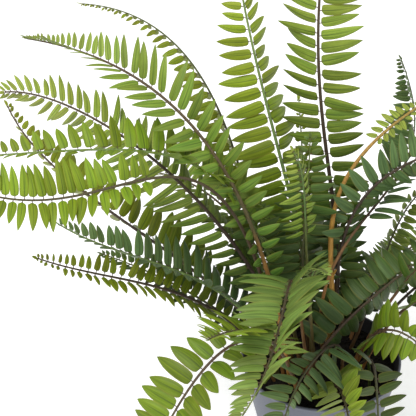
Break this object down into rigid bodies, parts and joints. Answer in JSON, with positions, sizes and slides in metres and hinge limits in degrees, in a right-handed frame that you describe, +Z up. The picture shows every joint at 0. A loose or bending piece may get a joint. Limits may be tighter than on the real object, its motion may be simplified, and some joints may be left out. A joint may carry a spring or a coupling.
{
  "type": "potted fern",
  "caption": "Bushy sword fern with long arching fronds of paired leaflets, standing in a plain tapered round pot of dark soil.",
  "frame": {"origin": "on the ground, in the middle of the pot's flat round underside", "axes": "+Z up, -Y towards the front as pictured, +X to the right as pictured"},
  "size_m": [0.67, 0.51, 0.62],
  "materials": {
    "pot": "smooth matt slate grey",
    "soil": "rough, crumbly, nearly black",
    "leaf_light": "satin yellow-green leaf with fine veins",
    "leaf_mid": "satin mid green leaf with fine veins",
    "leaf_dark": "satin dark blue-green leaf with fine veins",
    "stalk": "satin tan to dark brown stalk"
  },
  "bodies": {
    "root": {"pot": "pot", "soil": "soil", "frond_01": "leaf_mid", "frond_02": "leaf_mid", "frond_03": "leaf_light", "frond_04": "leaf_light", "frond_05": "leaf_light", "frond_06": "leaf_dark", "frond_07": "leaf_light", "frond_08": "leaf_dark", "frond_09": "leaf_light", "frond_10": "leaf_light", "frond_11": "leaf_light", "frond_12": "leaf_light", "frond_13": "leaf_light", "frond_14": "leaf_mid", "frond_15": "leaf_light", "frond_16": "leaf_mid", "frond_17": "stalk", "frond_18": "leaf_dark", "frond_19": "leaf_dark", "frond_20": "leaf_mid", "frond_21": "leaf_dark", "frond_22": "leaf_light", "frond_23": "leaf_light", "frond_24": "leaf_dark", "frond_25": "leaf_dark", "frond_26": "leaf_dark", "frond_27": "leaf_light", "frond_28": "leaf_mid", "frond_29": "leaf_light", "frond_30": "leaf_mid", "frond_31": "leaf_dark", "frond_32": "leaf_mid", "frond_33": "leaf_mid", "frond_34": "leaf_dark", "frond_35": "leaf_dark", "frond_36": "leaf_dark"}
  },
  "joints": []
}
